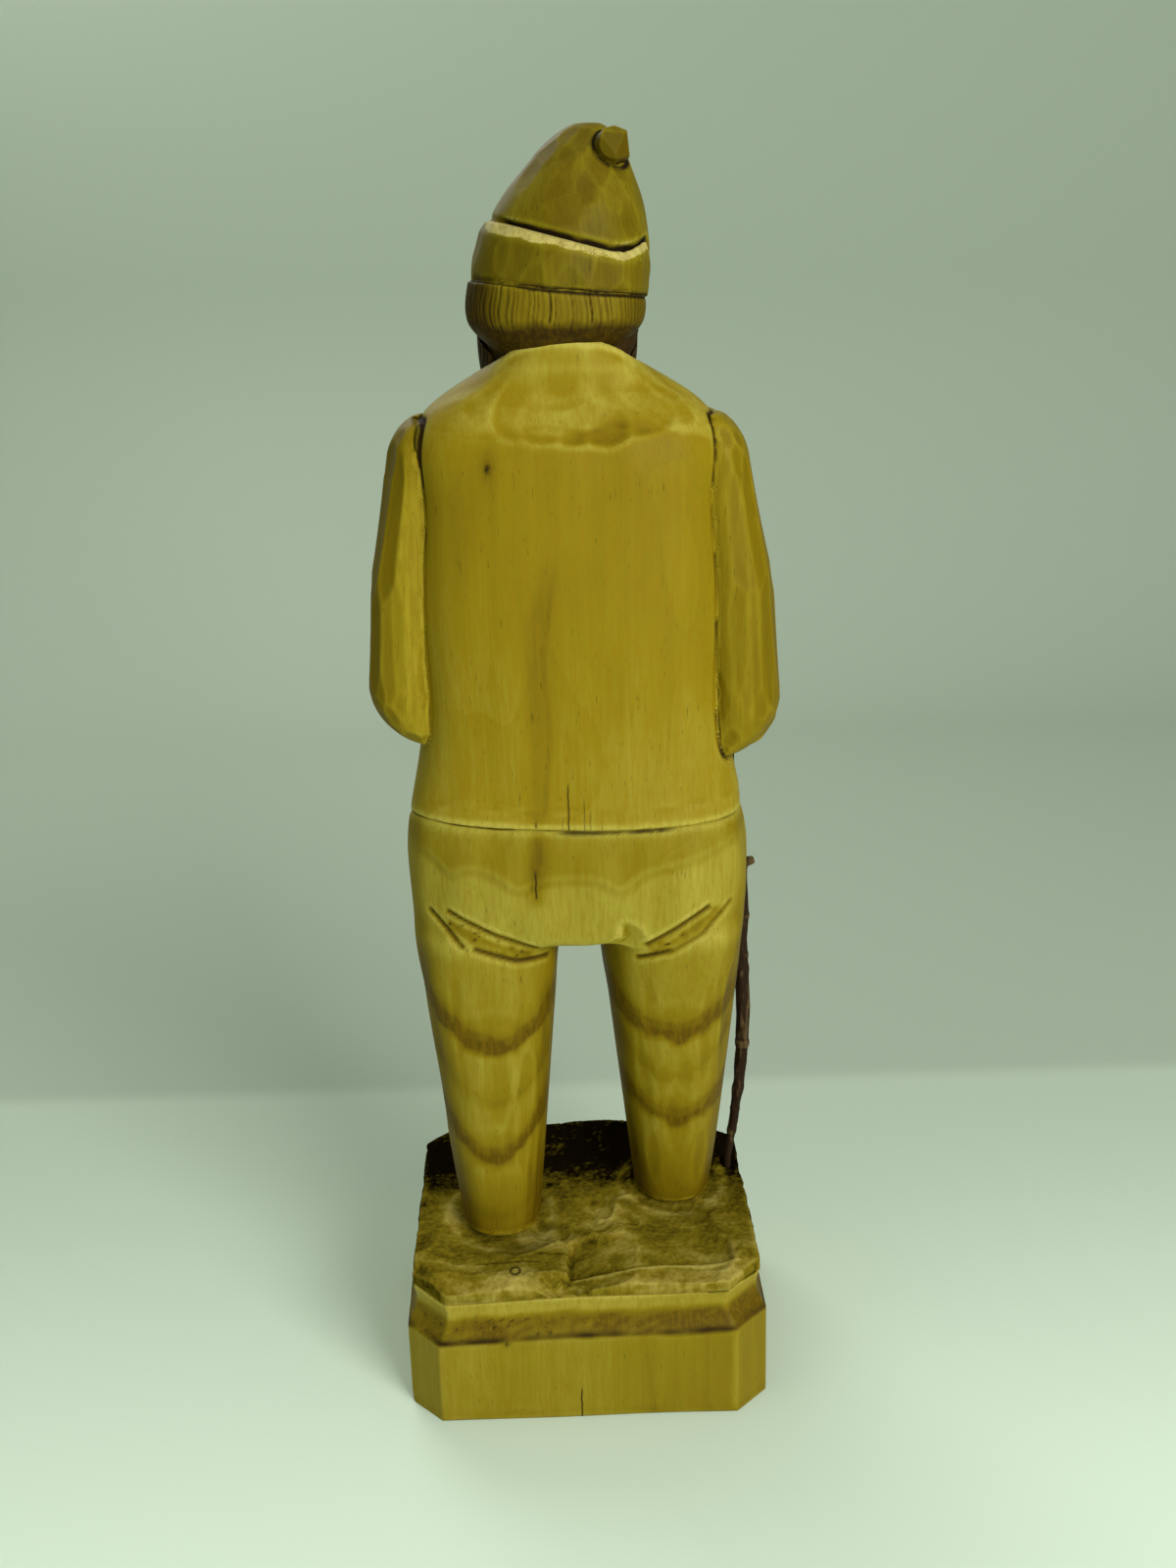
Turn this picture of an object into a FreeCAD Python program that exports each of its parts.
"""Carved wooden figurine of a walker with a twig walking stick.

Millimetres. +Z is up, the origin is the centre of the base's underside, and the figure faces -Y,
so its left hand is on the +X side. The block (base, legs, torso, head and cap) is split where its
carving changes, the arms are pieces glued to its sides, and the stick is a loose natural twig.
"""
import FreeCAD, Part
import math
import os
from collections import namedtuple

Vector = FreeCAD.Vector

# ---- base -------------------------------------------------------------------------------------
HIP_HALF_WIDTH = 40.9          # widest half of the hips
PLINTH_SIDE_MARGIN = 3.7       # how far the plinth stands out beyond the hips, each side
PLINTH_HALF_DEPTH = 40.0
PLINTH_BLOCK_HEIGHT = 23.4     # plain faces below the cove
COVE_HEIGHT = 10.2
COVE_INSET = 2.3               # deepest point of the shallow cove
MOULDING_INSET = 1.6           # the cove's upper edge, from the plinth's face
CORNER_CHAMFER = 8.4
GROUND_WALL = 2.8              # low wall of the carved ground, above the cove
GROUND_BEVEL = 1.6             # height of the sloped border above that wall
GROUND_SIDE_SLOPE = 0.5        # how far the border slopes in at the sides
GROUND_FRONT_SLOPE = 2.5
GROUND_BACK_SLOPE = 6.0

# ---- legs and seat ----------------------------------------------------------------------------
LEG_HEIGHT = 79.6              # ground to crotch
SEAT_HEIGHT = 29.4             # crotch to the jacket's hem
CUFF_HALF_WIDTH = 9.8
CUFF_HALF_DEPTH = 12.2
THIGH_HALF_DEPTH = 20.8
HIP_FRONT = -21.8
HIP_BACK = 23.0
SEAT_SHIFT = 0.5               # the hips sit this far to the figure's right
LEG_GAP_TOP_HALF = 4.4         # half of the gap between the legs, at the crotch
LEG_LAP = 2.0                  # how far a leg's blank reaches into the seat
Leg = namedtuple("Leg", "side cuff_x cuff_y")
LEFT_LEG = Leg(side=1, cuff_x=21.0, cuff_y=5.6)
RIGHT_LEG = Leg(side=-1, cuff_x=-23.7, cuff_y=-7.6)
SHOE_LENGTH = 39.0
SHOE_HALF_WIDTH = 8.6
SHOE_HEIGHT = 13.0
SHOE_THROAT = 5.0              # the shoe's top edge reaches this far in front of the cuff
HEEL_INSET = 1.5               # the heel stays this far inside the trouser cuff

# ---- jacket -----------------------------------------------------------------------------------
JACKET_HEIGHT = 109.4          # hem to the top of the collar at the back
WAIST_HALF_WIDTH = 37.8
CHEST_HALF_WIDTH = 35.2
SHOULDER_HALF_WIDTH = 32.4
COLLAR_HALF_WIDTH = 12.8
CHEST_FRONT = -22.6
CHEST_BACK = 22.4
NECK_FRONT = -10.0
NECK_BACK = 15.0
COLLAR_TILT = 27.0             # degrees, the collar's edge drops towards the throat

# ---- head and cap -----------------------------------------------------------------------------
COLLAR_ABOVE_JAW = 15.0        # the collar's top at the back, above the jaw line
FACE_HEIGHT = 25.2             # jaw line to the cap's band, at the middle
HEAD_HALF_WIDTH = 17.2
HEAD_FRONT = -20.0
HEAD_BACK = 15.0
HEAD_CENTRE_X = 0.5
HAIR_THICKNESS = 2.6
BEARD_THICKNESS = 3.4
BEARD_BACK = 3.0               # where the beard ends, below the ears
FACE_HALF_WIDTH = 11.0         # half of the opening in the beard
FACE_WINDOW_DEPTH = 14.0
FACE_WINDOW_HALF_HEIGHT = 9.6
FACE_WINDOW_RISE = 17.6        # its middle, above the jaw line
BAND_LOW_TILT = 5.6            # degrees, the cap sits lower on the figure's right
BAND_HIGH_TILT = 14.5
BAND_HEIGHT = 10.0             # at the middle
BAND_HALF_WIDTH = 19.6
BAND_HALF_DEPTH = 19.2
CROWN_HEIGHT = 23.8
CROWN_LEAN = -6.0              # sideways shift of the crown's top
NUB_RADIUS = 4.4
NUB_LENGTH = 6.5
NUB_TAPER = 0.84               # its end's share of its radius
NUB_DIRECTION = Vector(-0.25, 0.9, 0.36)
NUB_BELOW_TOP = 6.4            # its root, below the crown's top
NUB_BESIDE_TOP = 4.4           # its root, to the figure's right of the crown's top
NUB_BEHIND_MIDDLE = 3.2

# ---- arms, hands and stick --------------------------------------------------------------------
SHOULDER_OUT = 6.2             # how far the sleeve's top stands out beyond the shoulder
SLEEVE_INSIDE = 5.0            # how deep the sleeve's blank laps the jacket before it is trimmed
ARM_DROP = 16.6                # top of the sleeve below the collar's top
Arm = namedtuple("Arm", "side height elbow_out")   # sleeve top to elbow, and beyond the chest
LEFT_ARM = Arm(side=1, height=74.4, elbow_out=12.6)
RIGHT_ARM = Arm(side=-1, height=79.6, elbow_out=14.2)
ARM_FRONT = -12.5
ARM_BACK = 14.5
FOREARM_RADIUS = 9.4
CUFF_RADIUS = 7.8
FIST_HALF_WIDTH = 7.4
FIST_HALF_DEPTH = 8.2
FIST_HEIGHT = 17.5
HAND_HALF_LENGTH = 10.8        # the left hand, laid flat
HAND_HALF_THICKNESS = 6.2
FIST_BELOW_ELBOW = 2.0         # the fist's underside, below the right elbow's
HAND_ABOVE_ELBOW = 15.0        # the left hand's middle, above the left elbow's underside
GRIP_FORWARD = -26.0           # the stick's place in the right hand
GRIP_BEYOND_HIP = -0.9         # sideways, from the hips' widest point
STICK_RADIUS = 1.85            # through the hand
STICK_FOOT_RADIUS = 1.05
STICK_ABOVE_FIST = 10.5
STICK_CLEARANCE = 0.08         # radial, in the hand and in the socket
STICK_BOW = -4.3               # the twig's sideways bow between the ground and the hand
STICK_TIP_ROUND = 0.7          # how much thinner the stick's top is
KNOT_LENGTH = 3.9
KNOT_RADIUS = 1.3
KNOT_TIP_RADIUS = 0.9
KNOT_DIRECTION = Vector(-1, 0.1, 0.25)
KNOT_SHARE = 0.76              # the knot's place, from the ground to the hand
KNOT_BOW = 0.73                # the twig's share of its bow there
SOCKET_DEPTH = 8.0
SOCKET_LIFT = 9.0              # travel that takes the foot clear of the socket
GRIP_STRAIGHT = 2.0            # straight length under the fist, beyond that travel
FOOT_STRAIGHT = 0.5            # straight length above the ground
SOCKET_FROM_EDGE = 4.9         # socket's centre, in from the plinth's side
SOCKET_FORWARD = -16.0

# ---- levels and widths worked out from the above ------------------------------------------------
PLINTH_HALF_WIDTH = HIP_HALF_WIDTH + PLINTH_SIDE_MARGIN
COVE_TOP = PLINTH_BLOCK_HEIGHT + COVE_HEIGHT
GROUND_TOP = COVE_TOP + GROUND_WALL + GROUND_BEVEL
CROTCH = GROUND_TOP + LEG_HEIGHT
HEM = CROTCH + SEAT_HEIGHT
COLLAR = HEM + JACKET_HEIGHT
JAW = COLLAR - COLLAR_ABOVE_JAW
BAND_LOW = JAW + FACE_HEIGHT
BAND_HIGH = BAND_LOW + BAND_HEIGHT
SLEEVE_TOP = COLLAR - ARM_DROP
FIST_BOTTOM = SLEEVE_TOP - RIGHT_ARM.height - FIST_BELOW_ELBOW
GRIP_X = -(HIP_HALF_WIDTH + GRIP_BEYOND_HIP)
SOCKET_X = -(PLINTH_HALF_WIDTH - SOCKET_FROM_EDGE)
FAR = 400.0                    # larger than the figure, for cutting blocks
RING_POINTS = 24


def mix(start, end, share):
    """A value that runs from start to end as share goes from 0 to 1."""
    return start + (end - start) * share


def ring(z, left, right, front, back, power=2.6):
    """A closed, smooth, rounded-square outline at height z, inside the given four sides."""
    centre_x, half_x = (left + right) / 2, abs(left - right) / 2
    centre_y, half_y = (front + back) / 2, abs(back - front) / 2
    points = []
    for step in range(RING_POINTS):
        angle = 2 * math.pi * step / RING_POINTS
        cosine, sine = math.cos(angle), math.sin(angle)
        radius = (abs(cosine) ** power + abs(sine) ** power) ** (-1 / power)
        points.append(Vector(centre_x + half_x * radius * cosine, centre_y + half_y * radius * sine, z))
    curve = Part.BSplineCurve()
    curve.interpolate(Points=points, PeriodicFlag=True)
    return Part.Wire([curve.toShape()])


def loft(rings):
    """A smooth solid through a list of outlines."""
    return Part.makeLoft(rings, True, False)


def octagon(z, inset_side=0.0, inset_front=0.0, inset_back=0.0):
    """The base's outline at height z: a rectangle with chamfered corners, drawn in from the plinth."""
    side = PLINTH_HALF_WIDTH - inset_side
    front = PLINTH_HALF_DEPTH - inset_front
    back = PLINTH_HALF_DEPTH - inset_back
    cut = CORNER_CHAMFER
    corners = [(side, -front + cut), (side, back - cut), (side - cut, back), (-side + cut, back),
               (-side, back - cut), (-side, -front + cut), (-side + cut, -front), (side - cut, -front)]
    points = [Vector(x, y, z) for x, y in corners]
    return Part.makePolygon(points + points[:1])


def below(z, tilt=0.0, axis=Vector(0, 1, 0), centre=Vector(0, 0, 0)):
    """A block that fills the space below a plane at height z, tilted about an axis through centre."""
    block = Part.makeBox(2 * FAR, 2 * FAR, FAR, Vector(-FAR, -FAR, z - FAR))
    block.rotate(Vector(centre.x, centre.y, z), axis, tilt)
    return block


def largest(shape):
    """The biggest solid of a shape, without the slivers that a cut may leave."""
    return max(shape.Solids, key=lambda solid: solid.Volume)


# ---- base -------------------------------------------------------------------------------------
def make_plinth():
    """The plain block with its shallow cove, and the lower end of the stick's socket."""
    steps = 6
    rings = [octagon(0), octagon(PLINTH_BLOCK_HEIGHT)]
    for step in range(1, steps + 1):
        share = step / steps
        bow = math.sin(math.pi * share) * (COVE_INSET - MOULDING_INSET / 2)
        inset = MOULDING_INSET * share + bow
        rings.append(octagon(PLINTH_BLOCK_HEIGHT + COVE_HEIGHT * share, inset, inset, inset))
    return Part.makeLoft(rings, True, True).cut(make_socket())


def make_ground():
    """The patch of ground on the plinth, with a sloped border and the stick's socket."""
    inset = MOULDING_INSET
    slope = (inset + GROUND_SIDE_SLOPE, inset + GROUND_FRONT_SLOPE, inset + GROUND_BACK_SLOPE)
    rings = [octagon(COVE_TOP, inset, inset, inset),
             octagon(COVE_TOP + GROUND_WALL, inset, inset, inset),
             octagon(GROUND_TOP, *slope)]
    return Part.makeLoft(rings, True, True).cut(make_socket())


def make_socket():
    """The blind hole that the stick's foot stands in."""
    radius = STICK_FOOT_RADIUS + STICK_CLEARANCE
    depth = SOCKET_DEPTH + 1.0
    return Part.makeCylinder(radius, depth, Vector(SOCKET_X, SOCKET_FORWARD, GROUND_TOP - SOCKET_DEPTH))


# ---- legs -------------------------------------------------------------------------------------
def leg_blank(leg):
    """One trouser leg, from the ground up into the seat."""
    rings = []
    for share in (0.0, 0.2, 0.4, 0.6, 0.8, 1.0):
        swell = share ** 0.85
        outer = mix(abs(leg.cuff_x) + CUFF_HALF_WIDTH, HIP_HALF_WIDTH - leg.side * SEAT_SHIFT - 0.4, swell)
        inner = mix(abs(leg.cuff_x) - CUFF_HALF_WIDTH, LEG_GAP_TOP_HALF + leg.side * -SEAT_SHIFT, share)
        front = mix(leg.cuff_y - CUFF_HALF_DEPTH, -THIGH_HALF_DEPTH, share)
        back = mix(leg.cuff_y + CUFF_HALF_DEPTH, THIGH_HALF_DEPTH, swell)
        rings.append(ring(GROUND_TOP + (LEG_HEIGHT + LEG_LAP) * share, leg.side * outer, leg.side * inner,
                          front, back, mix(2.2, 2.8, share)))
    return loft(rings)


def hem_ring(z):
    """The outline that the trousers and the jacket share at the hem."""
    return ring(z, HIP_HALF_WIDTH - SEAT_SHIFT - 1.0, -HIP_HALF_WIDTH - SEAT_SHIFT + 1.6,
                HIP_FRONT + 0.6, HIP_BACK - 1.0, 2.9)


def make_trousers():
    """Both trouser legs and the seat, in one node because one carved skin runs over them."""
    left, right = HIP_HALF_WIDTH - SEAT_SHIFT, -HIP_HALF_WIDTH - SEAT_SHIFT
    seat = loft([ring(CROTCH, left - 0.6, right + 0.6, HIP_FRONT + 0.8, HIP_BACK - 1.8, 2.9),
                 ring(CROTCH + SEAT_HEIGHT * 0.35, left, right, HIP_FRONT, HIP_BACK, 2.9),
                 ring(CROTCH + SEAT_HEIGHT * 0.7, left, right, HIP_FRONT, HIP_BACK, 2.9),
                 hem_ring(HEM)])
    return seat.fuse([leg_blank(LEFT_LEG), leg_blank(RIGHT_LEG)]).removeSplitter()


def make_shoe(leg, trousers):
    """A plain round-toed shoe that comes out from under the trouser cuff."""
    heel = leg.cuff_y + CUFF_HALF_DEPTH - HEEL_INSET
    toe = heel - SHOE_LENGTH
    half = SHOE_HALF_WIDTH
    throat = leg.cuff_y - CUFF_HALF_DEPTH - SHOE_THROAT - toe
    rings = []
    for share, narrow, toe_back in ((0.0, 0.3, 0.6), (0.22, 0.0, 0.0), (0.45, 0.4, 1.2),
                                    (0.75, 1.6, 8.0), (1.0, 2.6, throat)):
        rings.append(ring(GROUND_TOP + SHOE_HEIGHT * share, leg.cuff_x + half - narrow,
                          leg.cuff_x - half + narrow, toe + toe_back, heel, 2.3))
    return largest(loft(rings).cut(trousers))


# ---- jacket -----------------------------------------------------------------------------------
def make_jacket(head):
    """The jacket's body, from the hem to the tilted edge of the collar, around the neck."""
    def level(share):
        return HEM + JACKET_HEIGHT * share
    shoulder = SHOULDER_HALF_WIDTH
    slope_low = mix(shoulder, COLLAR_HALF_WIDTH, 0.42)
    slope_high = mix(shoulder, COLLAR_HALF_WIDTH, 0.84)
    rings = [hem_ring(HEM),
             ring(level(0.10), WAIST_HALF_WIDTH - SEAT_SHIFT, -WAIST_HALF_WIDTH - SEAT_SHIFT,
                  HIP_FRONT + 1.2, HIP_BACK - 2.4, 2.9),
             ring(level(0.28), CHEST_HALF_WIDTH, -CHEST_HALF_WIDTH, CHEST_FRONT + 0.6, CHEST_BACK - 1.0, 3.0),
             ring(level(0.50), CHEST_HALF_WIDTH, -CHEST_HALF_WIDTH, CHEST_FRONT, CHEST_BACK, 3.1),
             ring(level(0.70), mix(CHEST_HALF_WIDTH, shoulder, 0.5), -mix(CHEST_HALF_WIDTH, shoulder, 0.5),
                  CHEST_FRONT + 1.0, CHEST_BACK + 0.4, 3.0),
             ring(level(0.85), shoulder, -shoulder, CHEST_FRONT + 6.0, CHEST_BACK - 2.6, 2.8),
             ring(level(0.91), slope_low, -slope_low,
                  NECK_FRONT - 3.0, NECK_BACK + 1.6, 2.5),
             ring(level(0.96), slope_high, -slope_high,
                  NECK_FRONT - 0.8, NECK_BACK + 0.4, 2.3),
             ring(level(1.02), COLLAR_HALF_WIDTH, -COLLAR_HALF_WIDTH, NECK_FRONT, NECK_BACK, 2.2)]
    body = loft(rings)
    body = body.common(below(COLLAR, COLLAR_TILT, Vector(1, 0, 0), Vector(0, NECK_BACK, 0)))
    return largest(body.cut(head))


# ---- head and cap -----------------------------------------------------------------------------
def head_blank():
    """The head's egg shape with its neck."""
    centre, half = HEAD_CENTRE_X, HEAD_HALF_WIDTH
    neck_half = COLLAR_HALF_WIDTH - 3.2
    front, back = HEAD_FRONT, HEAD_BACK
    rings = [ring(JAW - 8.0, centre + neck_half, centre - neck_half, NECK_FRONT + 1.0, NECK_BACK - 4.6, 2.1),
             ring(JAW + 1.0, centre + neck_half, centre - neck_half, front + 10.0, NECK_BACK - 4.4, 2.1),
             ring(JAW + 5.0, centre + half * 0.74, centre - half * 0.74, front + 3.4, back - 3.4, 2.1),
             ring(JAW + 12.0, centre + half * 0.94, centre - half * 0.94, front + 0.8, back - 1.6, 2.2),
             ring(JAW + 20.0, centre + half, centre - half, front, back, 2.2),
             ring(JAW + FACE_HEIGHT + 6.0, centre + half, centre - half, front + 0.6, back + 0.2, 2.2)]
    return loft(rings)


def under_band():
    """The space below the cap's band."""
    return below(BAND_LOW, -BAND_LOW_TILT)


def make_head():
    """Neck, jaw and face with a plain nose, cut flat where the cap's band sits on it."""
    nose_root, nose_tip = JAW + 20.5, JAW + 13.0
    bridge = HEAD_FRONT + 1.5
    middle = HEAD_CENTRE_X
    nose = Part.makeLoft([ring(nose_tip, middle + 3.3, middle - 3.3, HEAD_FRONT - 3.8, bridge, 2.2),
                          ring(nose_root, middle + 1.8, middle - 1.8, HEAD_FRONT - 0.6, bridge, 2.2)],
                         True, True)
    return head_blank().fuse(nose).common(under_band())


def make_hair(head):
    """The fringe of hair below the cap, round the back and over the ears."""
    centre = HEAD_CENTRE_X + 1.2
    half = HEAD_HALF_WIDTH + HAIR_THICKNESS
    back = HEAD_BACK + HAIR_THICKNESS
    rings = [ring(JAW + 10.0, centre + half * 0.66, centre - half * 0.66, HEAD_FRONT + 8.0, back - 4.0, 2.2),
             ring(JAW + 14.5, centre + half * 0.86, centre - half * 0.86, HEAD_FRONT + 6.0, back - 1.4, 2.3),
             ring(JAW + 18.0, centre + half * 0.97, centre - half * 0.97, HEAD_FRONT + 5.0, back - 0.4, 2.4),
             ring(JAW + 22.5, centre + half, centre - half, HEAD_FRONT + 5.0, back, 2.4),
             ring(JAW + FACE_HEIGHT + 5.0, centre + half - 0.8, centre - half + 0.4,
                  HEAD_FRONT + 5.0, back, 2.4)]
    behind_face = Part.makeBox(2 * FAR, FAR, 2 * FAR, Vector(-FAR, HEAD_FRONT + 13.0, 0))
    return loft(rings).common(behind_face).common(under_band()).cut(head)


def make_beard(head, hair, jacket):
    """A short full beard along the jaw, open round the mouth and nose."""
    centre = HEAD_CENTRE_X + 0.9
    half = HEAD_HALF_WIDTH + BEARD_THICKNESS * 0.15
    rings = []
    for rise, spread, forward in ((-6.0, 0.34, 4.0), (-2.0, 0.66, 1.0), (3.0, 0.9, 0.0), (9.0, 1.0, 0.0),
                                  (14.0, 1.02, 1.0), (19.5, 1.0, 2.0)):
        rings.append(ring(JAW + rise, centre + half * spread, centre - half * spread,
                          HEAD_FRONT - BEARD_THICKNESS + forward, HEAD_BACK - 4.0, 2.1))
    in_front = Part.makeBox(2 * FAR, FAR, 2 * FAR, Vector(-FAR, BEARD_BACK - FAR, 0))
    face_window = Part.makeSphere(1.0)
    stretch = FreeCAD.Matrix()
    stretch.scale(FACE_HALF_WIDTH, FACE_WINDOW_DEPTH, FACE_WINDOW_HALF_HEIGHT)
    face_window = face_window.transformGeometry(stretch)
    face_window.translate(Vector(HEAD_CENTRE_X, HEAD_FRONT - FACE_WINDOW_DEPTH / 2, JAW + FACE_WINDOW_RISE))
    return largest(loft(rings).common(in_front).cut(face_window).cut(head).cut(hair).cut(jacket))


def over_band():
    """The space above the cap's band."""
    return Part.makeBox(2 * FAR, 2 * FAR, 2 * FAR, Vector(-FAR, -FAR, -FAR)).cut(
        below(BAND_HIGH, -BAND_HIGH_TILT))


def make_cap_band():
    """The cap's turned-up band: a thick slab between two tilted planes."""
    half, depth = BAND_HALF_WIDTH, BAND_HALF_DEPTH
    low, high = BAND_LOW - 4.0, BAND_HIGH + 8.0
    blank = loft([ring(low, half - 0.2 + 0.8, -half + 0.8, -depth - 1.5, depth - 1.8, 2.2),
                  ring(mix(low, high, 0.5), half, -half, -depth - 1.0, depth - 1.8, 2.2),
                  ring(high, half - 4.4, -half, -depth + 1.6, depth - 3.6, 2.2)])
    return blank.cut(under_band()).common(below(BAND_HIGH, -BAND_HIGH_TILT))


def crown_rings():
    """The crown's outlines, from the band to its rounded top that leans to the figure's right."""
    half, depth = BAND_HALF_WIDTH - 1.0, BAND_HALF_DEPTH - 1.4
    base = BAND_HIGH - 6.0
    height = CROWN_HEIGHT + 6.0
    rings = []
    for share, spread in ((0.0, 1.04), (0.25, 0.97), (0.45, 0.86), (0.63, 0.71), (0.80, 0.53), (0.93, 0.34),
                          (1.0, 0.14)):
        shift = CROWN_LEAN * share ** 1.4
        rings.append(ring(base + height * share, half * spread + shift, -half * spread + shift,
                          -depth * spread - 0.8, depth * spread - 1.2, 2.1))
    return rings


def make_cap_crown():
    """The soft crown above the band."""
    return largest(loft(crown_rings()).common(over_band()))


def make_cap_nub(crown):
    """The tied-off end of the cap, folded over to the back."""
    root = Vector(CROWN_LEAN - NUB_BESIDE_TOP, NUB_BEHIND_MIDDLE, BAND_HIGH + CROWN_HEIGHT - NUB_BELOW_TOP)
    nub = Part.makeCone(NUB_RADIUS, NUB_RADIUS * NUB_TAPER, NUB_LENGTH, root, NUB_DIRECTION)
    return largest(nub.cut(crown))


# ---- arms -------------------------------------------------------------------------------------
def upper_arm(arm):
    """The hanging part of a sleeve, lapped into the jacket's side."""
    rings = []
    for share, out, slim in ((0.0, -0.4, 4.5), (0.05, 0.18, 2.0), (0.2, 0.48, 0.8), (0.42, 0.76, 0.4),
                             (0.64, 0.92, 0.2), (0.8, 1.0, 0.0), (0.9, 0.84, 0.6), (0.97, 0.42, 2.6),
                             (1.0, 0.0, 5.0)):
        reach = mix(SHOULDER_HALF_WIDTH + SHOULDER_OUT - 2.0, CHEST_HALF_WIDTH + arm.elbow_out, max(out, 0.0))
        reach += min(out, 0.0) * 5.0
        inside = CHEST_HALF_WIDTH - SLEEVE_INSIDE - 3.0 * (1 - share)
        rings.append(ring(SLEEVE_TOP - arm.height * share, arm.side * reach, arm.side * inside,
                          ARM_FRONT + slim, ARM_BACK - slim, 2.3))
    return loft(rings)


def forearm(arm, wrist):
    """The bent part of a sleeve, from the elbow to its open cuff at the wrist."""
    elbow = Vector(arm.side * (CHEST_HALF_WIDTH + arm.elbow_out - FOREARM_RADIUS - 1.0), 3.5,
                   SLEEVE_TOP - arm.height + FOREARM_RADIUS + 1.0)
    along = wrist - elbow
    return Part.makeCone(FOREARM_RADIUS, CUFF_RADIUS, along.Length, elbow, along)


def make_sleeve(arm, wrist, jacket):
    """A whole sleeve, trimmed to the jacket's side and front."""
    whole = upper_arm(arm).fuse(forearm(arm, wrist)).removeSplitter()
    return largest(whole.cut(jacket))


def right_wrist():
    """The end of the right sleeve, just behind the fist."""
    return Vector(GRIP_X, GRIP_FORWARD + FIST_HALF_DEPTH - 1.0, FIST_BOTTOM + FIST_HEIGHT * 0.55)


def left_wrist():
    """The end of the left sleeve, in front of the belly."""
    return Vector(CHEST_HALF_WIDTH * 0.56, CHEST_FRONT - 5.4,
                  SLEEVE_TOP - LEFT_ARM.height + HAND_ABOVE_ELBOW)


def make_right_hand(sleeve, jacket):
    """The fist round the stick, bored for it."""
    rings = []
    for share, slim in ((0.0, 2.2), (0.16, 0.6), (0.5, 0.0), (0.84, 0.5), (1.0, 2.0)):
        rings.append(ring(FIST_BOTTOM + FIST_HEIGHT * share, GRIP_X + FIST_HALF_WIDTH - slim,
                          GRIP_X - FIST_HALF_WIDTH + slim, GRIP_FORWARD - FIST_HALF_DEPTH + slim,
                          GRIP_FORWARD + FIST_HALF_DEPTH - slim, 2.5))
    bore = Part.makeCylinder(STICK_RADIUS + STICK_CLEARANCE, FAR,
                             Vector(GRIP_X, GRIP_FORWARD, FIST_BOTTOM - 10.0))
    return largest(loft(rings).cut(sleeve).cut(jacket).cut(bore))


def make_left_hand(sleeve, jacket):
    """The left hand, laid flat on the belly."""
    wrist = left_wrist()
    middle = wrist.x - FIST_HALF_DEPTH
    rings = []
    for share, slim in ((-0.5, 4.0), (-0.4, 1.6), (-0.2, 0.3), (0.0, 0.0),
                        (0.2, 0.3), (0.4, 1.4), (0.5, 3.6)):
        rings.append(ring(wrist.z + FIST_HEIGHT * share, middle + HAND_HALF_LENGTH - slim,
                          middle - HAND_HALF_LENGTH + slim, wrist.y - HAND_HALF_THICKNESS + slim * 0.6,
                          wrist.y + FIST_HALF_DEPTH, 2.4))
    return largest(loft(rings).cut(sleeve).cut(jacket))


# ---- walking stick ------------------------------------------------------------------------------
def stick_circle(x, y, z, radius):
    """One level outline of the twig."""
    return Part.Wire([Part.Circle(Vector(x, y, z), Vector(0, 0, 1), radius).toShape()])


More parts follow.
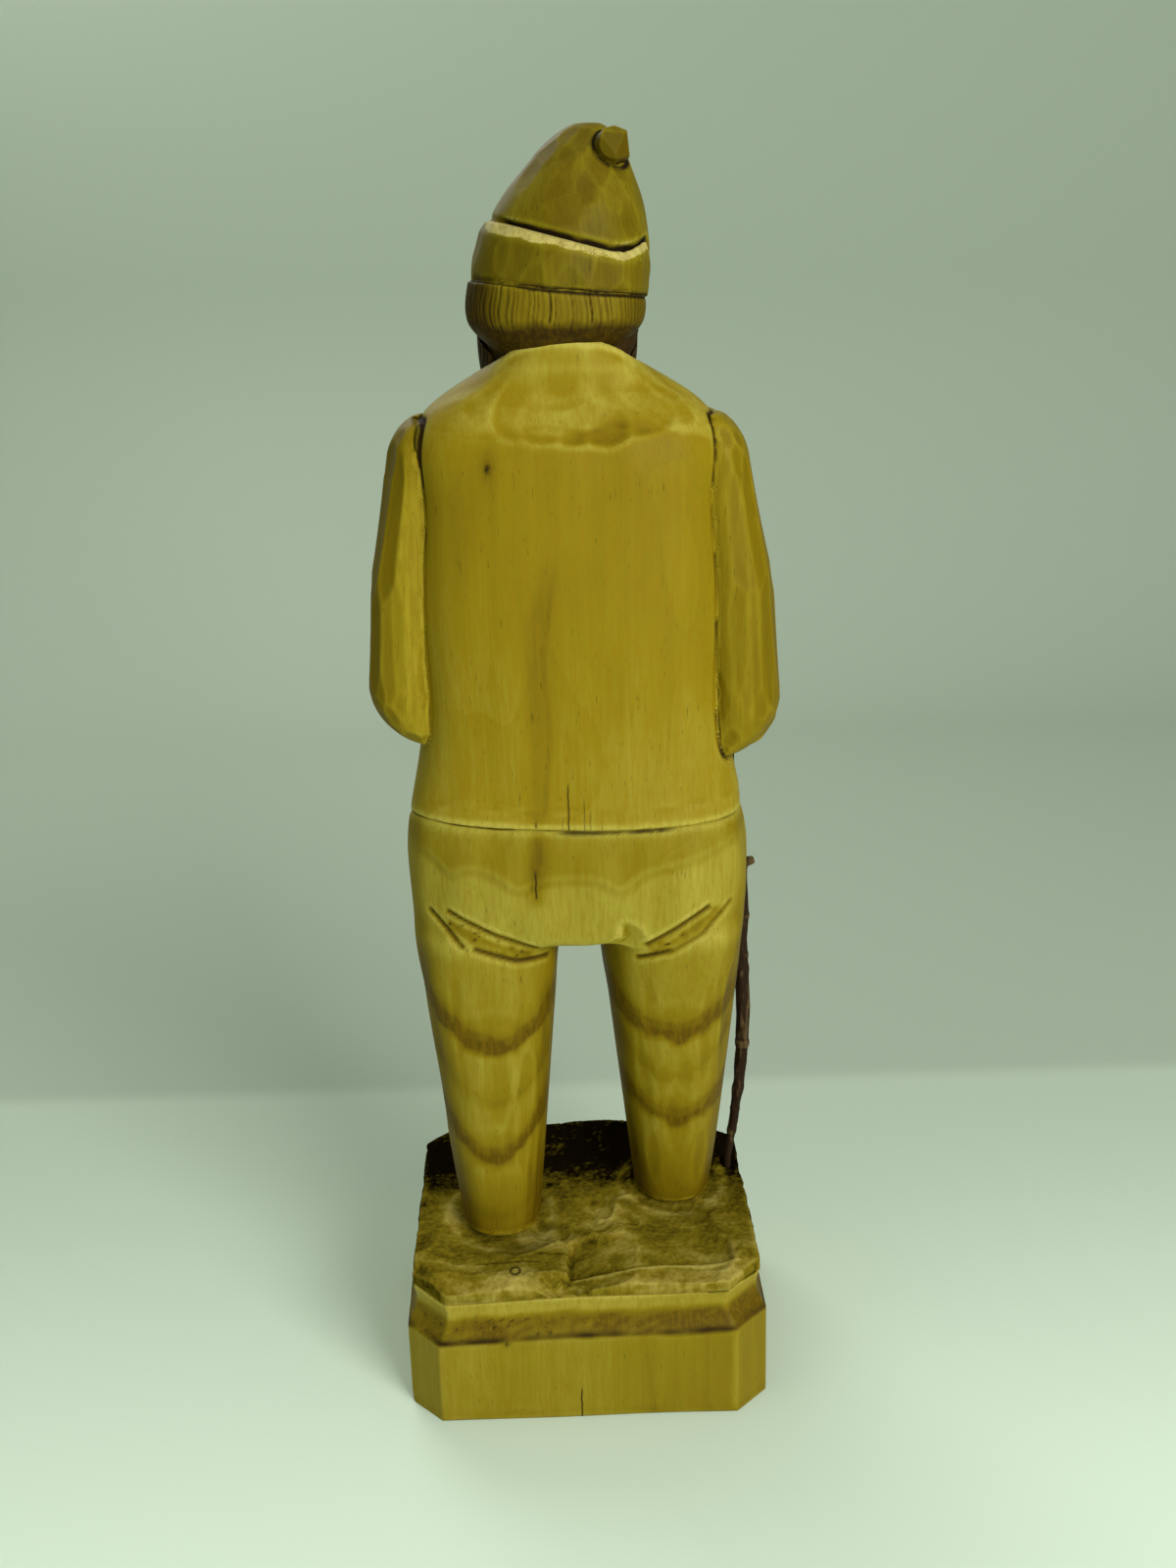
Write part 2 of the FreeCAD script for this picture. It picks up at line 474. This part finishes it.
def make_stick():
    """The twig: upright where it passes the hand and stands in the socket, bowed in between."""
    foot = GROUND_TOP - SOCKET_DEPTH
    straight_from = FIST_BOTTOM - SOCKET_LIFT - GRIP_STRAIGHT
    leave_ground = GROUND_TOP + FOOT_STRAIGHT
    top = FIST_BOTTOM + FIST_HEIGHT + STICK_ABOVE_FIST
    rings = [stick_circle(SOCKET_X, SOCKET_FORWARD, foot, STICK_FOOT_RADIUS),
             stick_circle(SOCKET_X, SOCKET_FORWARD, leave_ground, STICK_FOOT_RADIUS)]
    for share, bow, radius in ((0.09, 0.38, 0.68), (0.20, 0.73, 0.8), (0.30, 0.95, 0.95), (0.40, 1.0, 1.03),
                               (0.50, 0.87, 1.0), (0.57, 0.83, 0.97), (0.63, 0.91, 1.0), (0.70, 0.84, 1.0),
                               (KNOT_SHARE, KNOT_BOW, 1.05), (0.85, 0.48, 1.0), (0.955, 0.2, 1.0)):
        rings.append(stick_circle(mix(SOCKET_X, GRIP_X, share) + STICK_BOW * bow,
                                  mix(SOCKET_FORWARD, GRIP_FORWARD, share),
                                  mix(leave_ground, straight_from, share), STICK_RADIUS * radius))
    rings.append(stick_circle(GRIP_X, GRIP_FORWARD, straight_from, STICK_RADIUS))
    rings.append(stick_circle(GRIP_X, GRIP_FORWARD, top - 1.0, STICK_RADIUS))
    rings.append(stick_circle(GRIP_X, GRIP_FORWARD, top, STICK_RADIUS - STICK_TIP_ROUND))
    twig = Part.makeLoft(rings, True, True)
    knot_z = mix(leave_ground, straight_from, KNOT_SHARE)
    knot_y = mix(SOCKET_FORWARD, GRIP_FORWARD, KNOT_SHARE)
    knot_x = mix(SOCKET_X, GRIP_X, KNOT_SHARE) + STICK_BOW * KNOT_BOW
    knot = Part.makeCone(KNOT_RADIUS, KNOT_TIP_RADIUS, KNOT_LENGTH, Vector(knot_x, knot_y, knot_z),
                         KNOT_DIRECTION)
    return twig.fuse(knot)


def main():
    """Make every node in order and write one STEP file for each."""
    os.makedirs("parts", exist_ok=True)
    nodes = {"plinth": make_plinth(), "ground": make_ground(), "trousers": make_trousers()}
    nodes["left_shoe"] = make_shoe(LEFT_LEG, nodes["trousers"])
    nodes["right_shoe"] = make_shoe(RIGHT_LEG, nodes["trousers"])
    nodes["head"] = make_head()
    nodes["jacket"] = make_jacket(nodes["head"])
    nodes["hair"] = largest(make_hair(nodes["head"]).cut(nodes["jacket"]))
    nodes["beard"] = make_beard(nodes["head"], nodes["hair"], nodes["jacket"])
    nodes["cap_band"] = make_cap_band()
    nodes["cap_crown"] = make_cap_crown()
    nodes["cap_nub"] = make_cap_nub(nodes["cap_crown"])
    nodes["left_sleeve"] = make_sleeve(LEFT_ARM, left_wrist(), nodes["jacket"])
    nodes["right_sleeve"] = make_sleeve(RIGHT_ARM, right_wrist(), nodes["jacket"])
    nodes["left_hand"] = make_left_hand(nodes["left_sleeve"], nodes["jacket"])
    nodes["right_hand"] = make_right_hand(nodes["right_sleeve"], nodes["jacket"])
    nodes["walking_stick"] = make_stick()
    for name, shape in nodes.items():
        shape.exportStep(f"parts/{name}.step")
        box = shape.BoundBox
        print(f"{name:14s} solids {len(shape.Solids)} valid {shape.isValid()} volume {shape.Volume:9.1f} "
              f"x {box.XMin:6.1f} {box.XMax:6.1f} y {box.YMin:6.1f} {box.YMax:6.1f} "
              f"z {box.ZMin:6.1f} {box.ZMax:6.1f}")


main()
